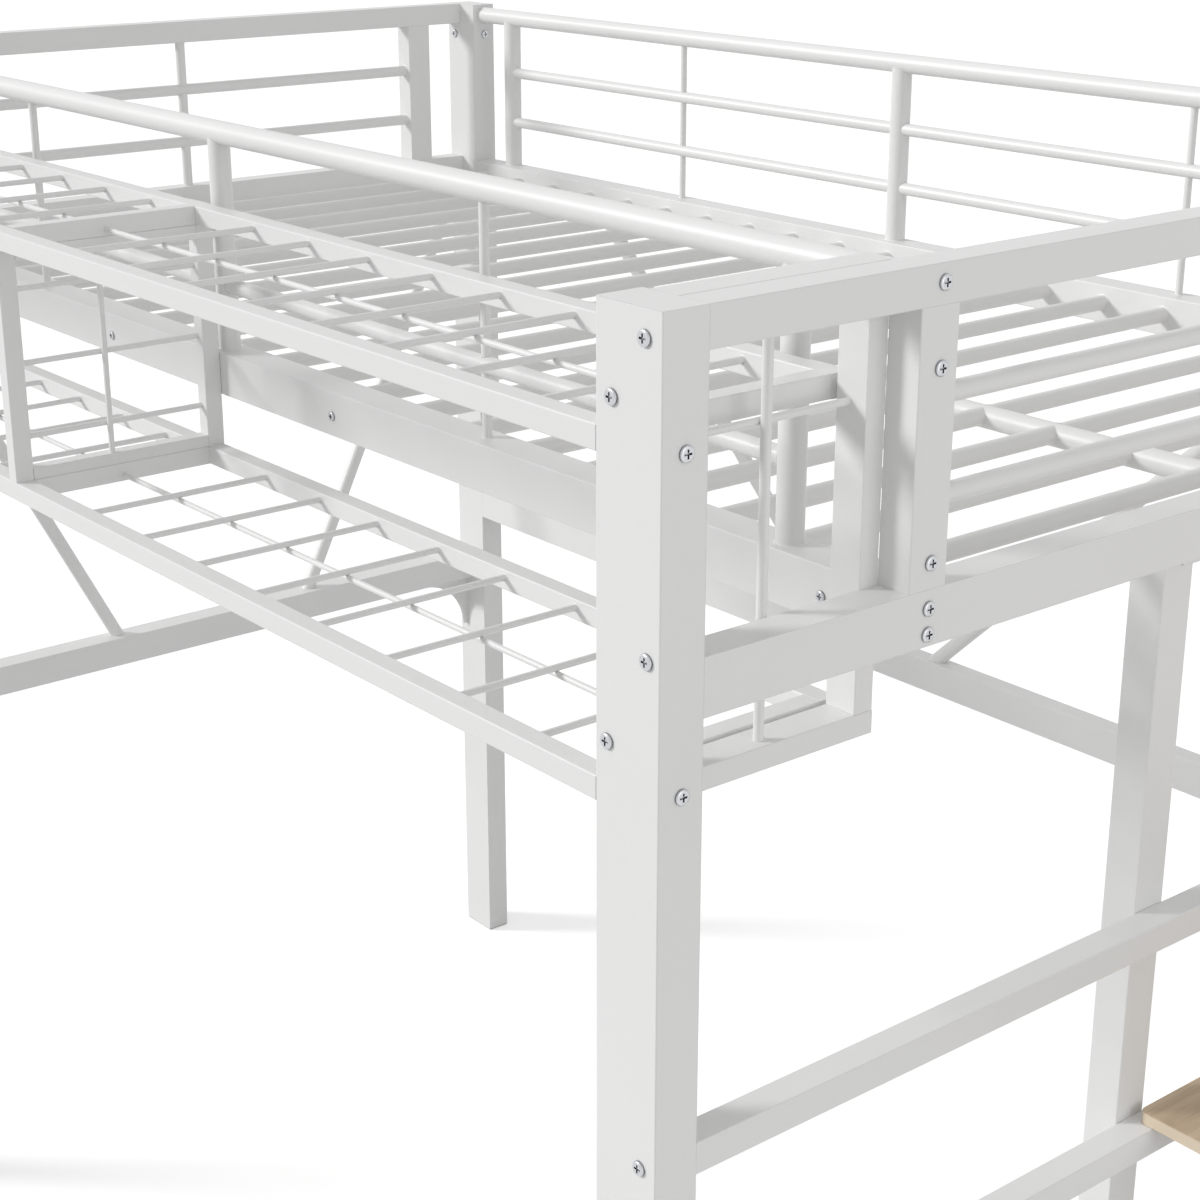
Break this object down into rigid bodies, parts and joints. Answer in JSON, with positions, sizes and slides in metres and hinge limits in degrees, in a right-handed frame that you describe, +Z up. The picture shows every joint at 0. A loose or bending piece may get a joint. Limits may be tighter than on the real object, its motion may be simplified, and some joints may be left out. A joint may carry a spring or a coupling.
{
  "type": "loft bed",
  "caption": "White tubular steel loft bed with a round-slat deck, full guards, wire shelves along one side and a small wooden desk board at one end.",
  "frame": {"origin": "centre of the footprint on the floor, screw heads included", "axes": "+X along the bed towards the end with the desk, +Y across the bed from the shelf side to the wall side, +Z up"},
  "size_m": [2.4656, 1.288, 1.633],
  "materials": {
    "frame_paint": "satin",
    "slat_paint": "satin",
    "wire_paint": "satin",
    "desk_wood": "satin",
    "screw_zinc": "polished",
    "foot_plastic": "matte"
  },
  "bodies": {
    "root": {"desk_board": "desk_wood", "desk_foot_bar": "frame_paint", "desk_frame": "frame_paint", "desk_legs": "frame_paint", "far_end_bars": "frame_paint", "far_end_braces": "frame_paint", "far_end_gussets": "frame_paint", "far_end_low_bar": "frame_paint", "far_end_lower_rail": "frame_paint", "far_end_panel": "frame_paint", "far_end_panel_wires": "wire_paint", "far_end_rod": "frame_paint", "far_end_top_rail": "frame_paint", "far_end_uprights": "frame_paint", "far_shelf_post": "frame_paint", "far_wall_post": "frame_paint", "lower_shelf_cross_wires": "wire_paint", "lower_shelf_frame": "frame_paint", "lower_shelf_long_wires": "wire_paint", "middle_leg": "frame_paint", "middle_leg_plate": "frame_paint", "near_end_bars": "frame_paint", "near_end_cross_bars": "frame_paint", "near_end_lower_rail": "frame_paint", "near_end_panel": "frame_paint", "near_end_panel_wires": "wire_paint", "near_end_rod": "frame_paint", "near_end_top_rail": "frame_paint", "near_end_uprights": "frame_paint", "near_shelf_post": "frame_paint", "near_wall_post": "frame_paint", "post_feet": "foot_plastic", "post_screws": "screw_zinc", "shelf_divider": "frame_paint", "shelf_divider_wires": "wire_paint", "shelf_guard_bar": "frame_paint", "shelf_guard_posts": "frame_paint", "shelf_guard_rods": "frame_paint", "shelf_guard_tube": "frame_paint", "shelf_side_rail": "frame_paint", "side_rail_screws": "screw_zinc", "slats": "slat_paint", "spine_tube": "slat_paint", "upper_shelf_cross_wires": "wire_paint", "upper_shelf_frame": "frame_paint", "upper_shelf_long_wires": "wire_paint", "upright_screws": "screw_zinc", "wall_guard_bars": "frame_paint", "wall_guard_posts": "frame_paint", "wall_guard_rods": "frame_paint", "wall_guard_tube": "frame_paint", "wall_side_braces": "frame_paint", "wall_side_low_bar": "frame_paint", "wall_side_rail": "frame_paint"}
  },
  "joints": []
}
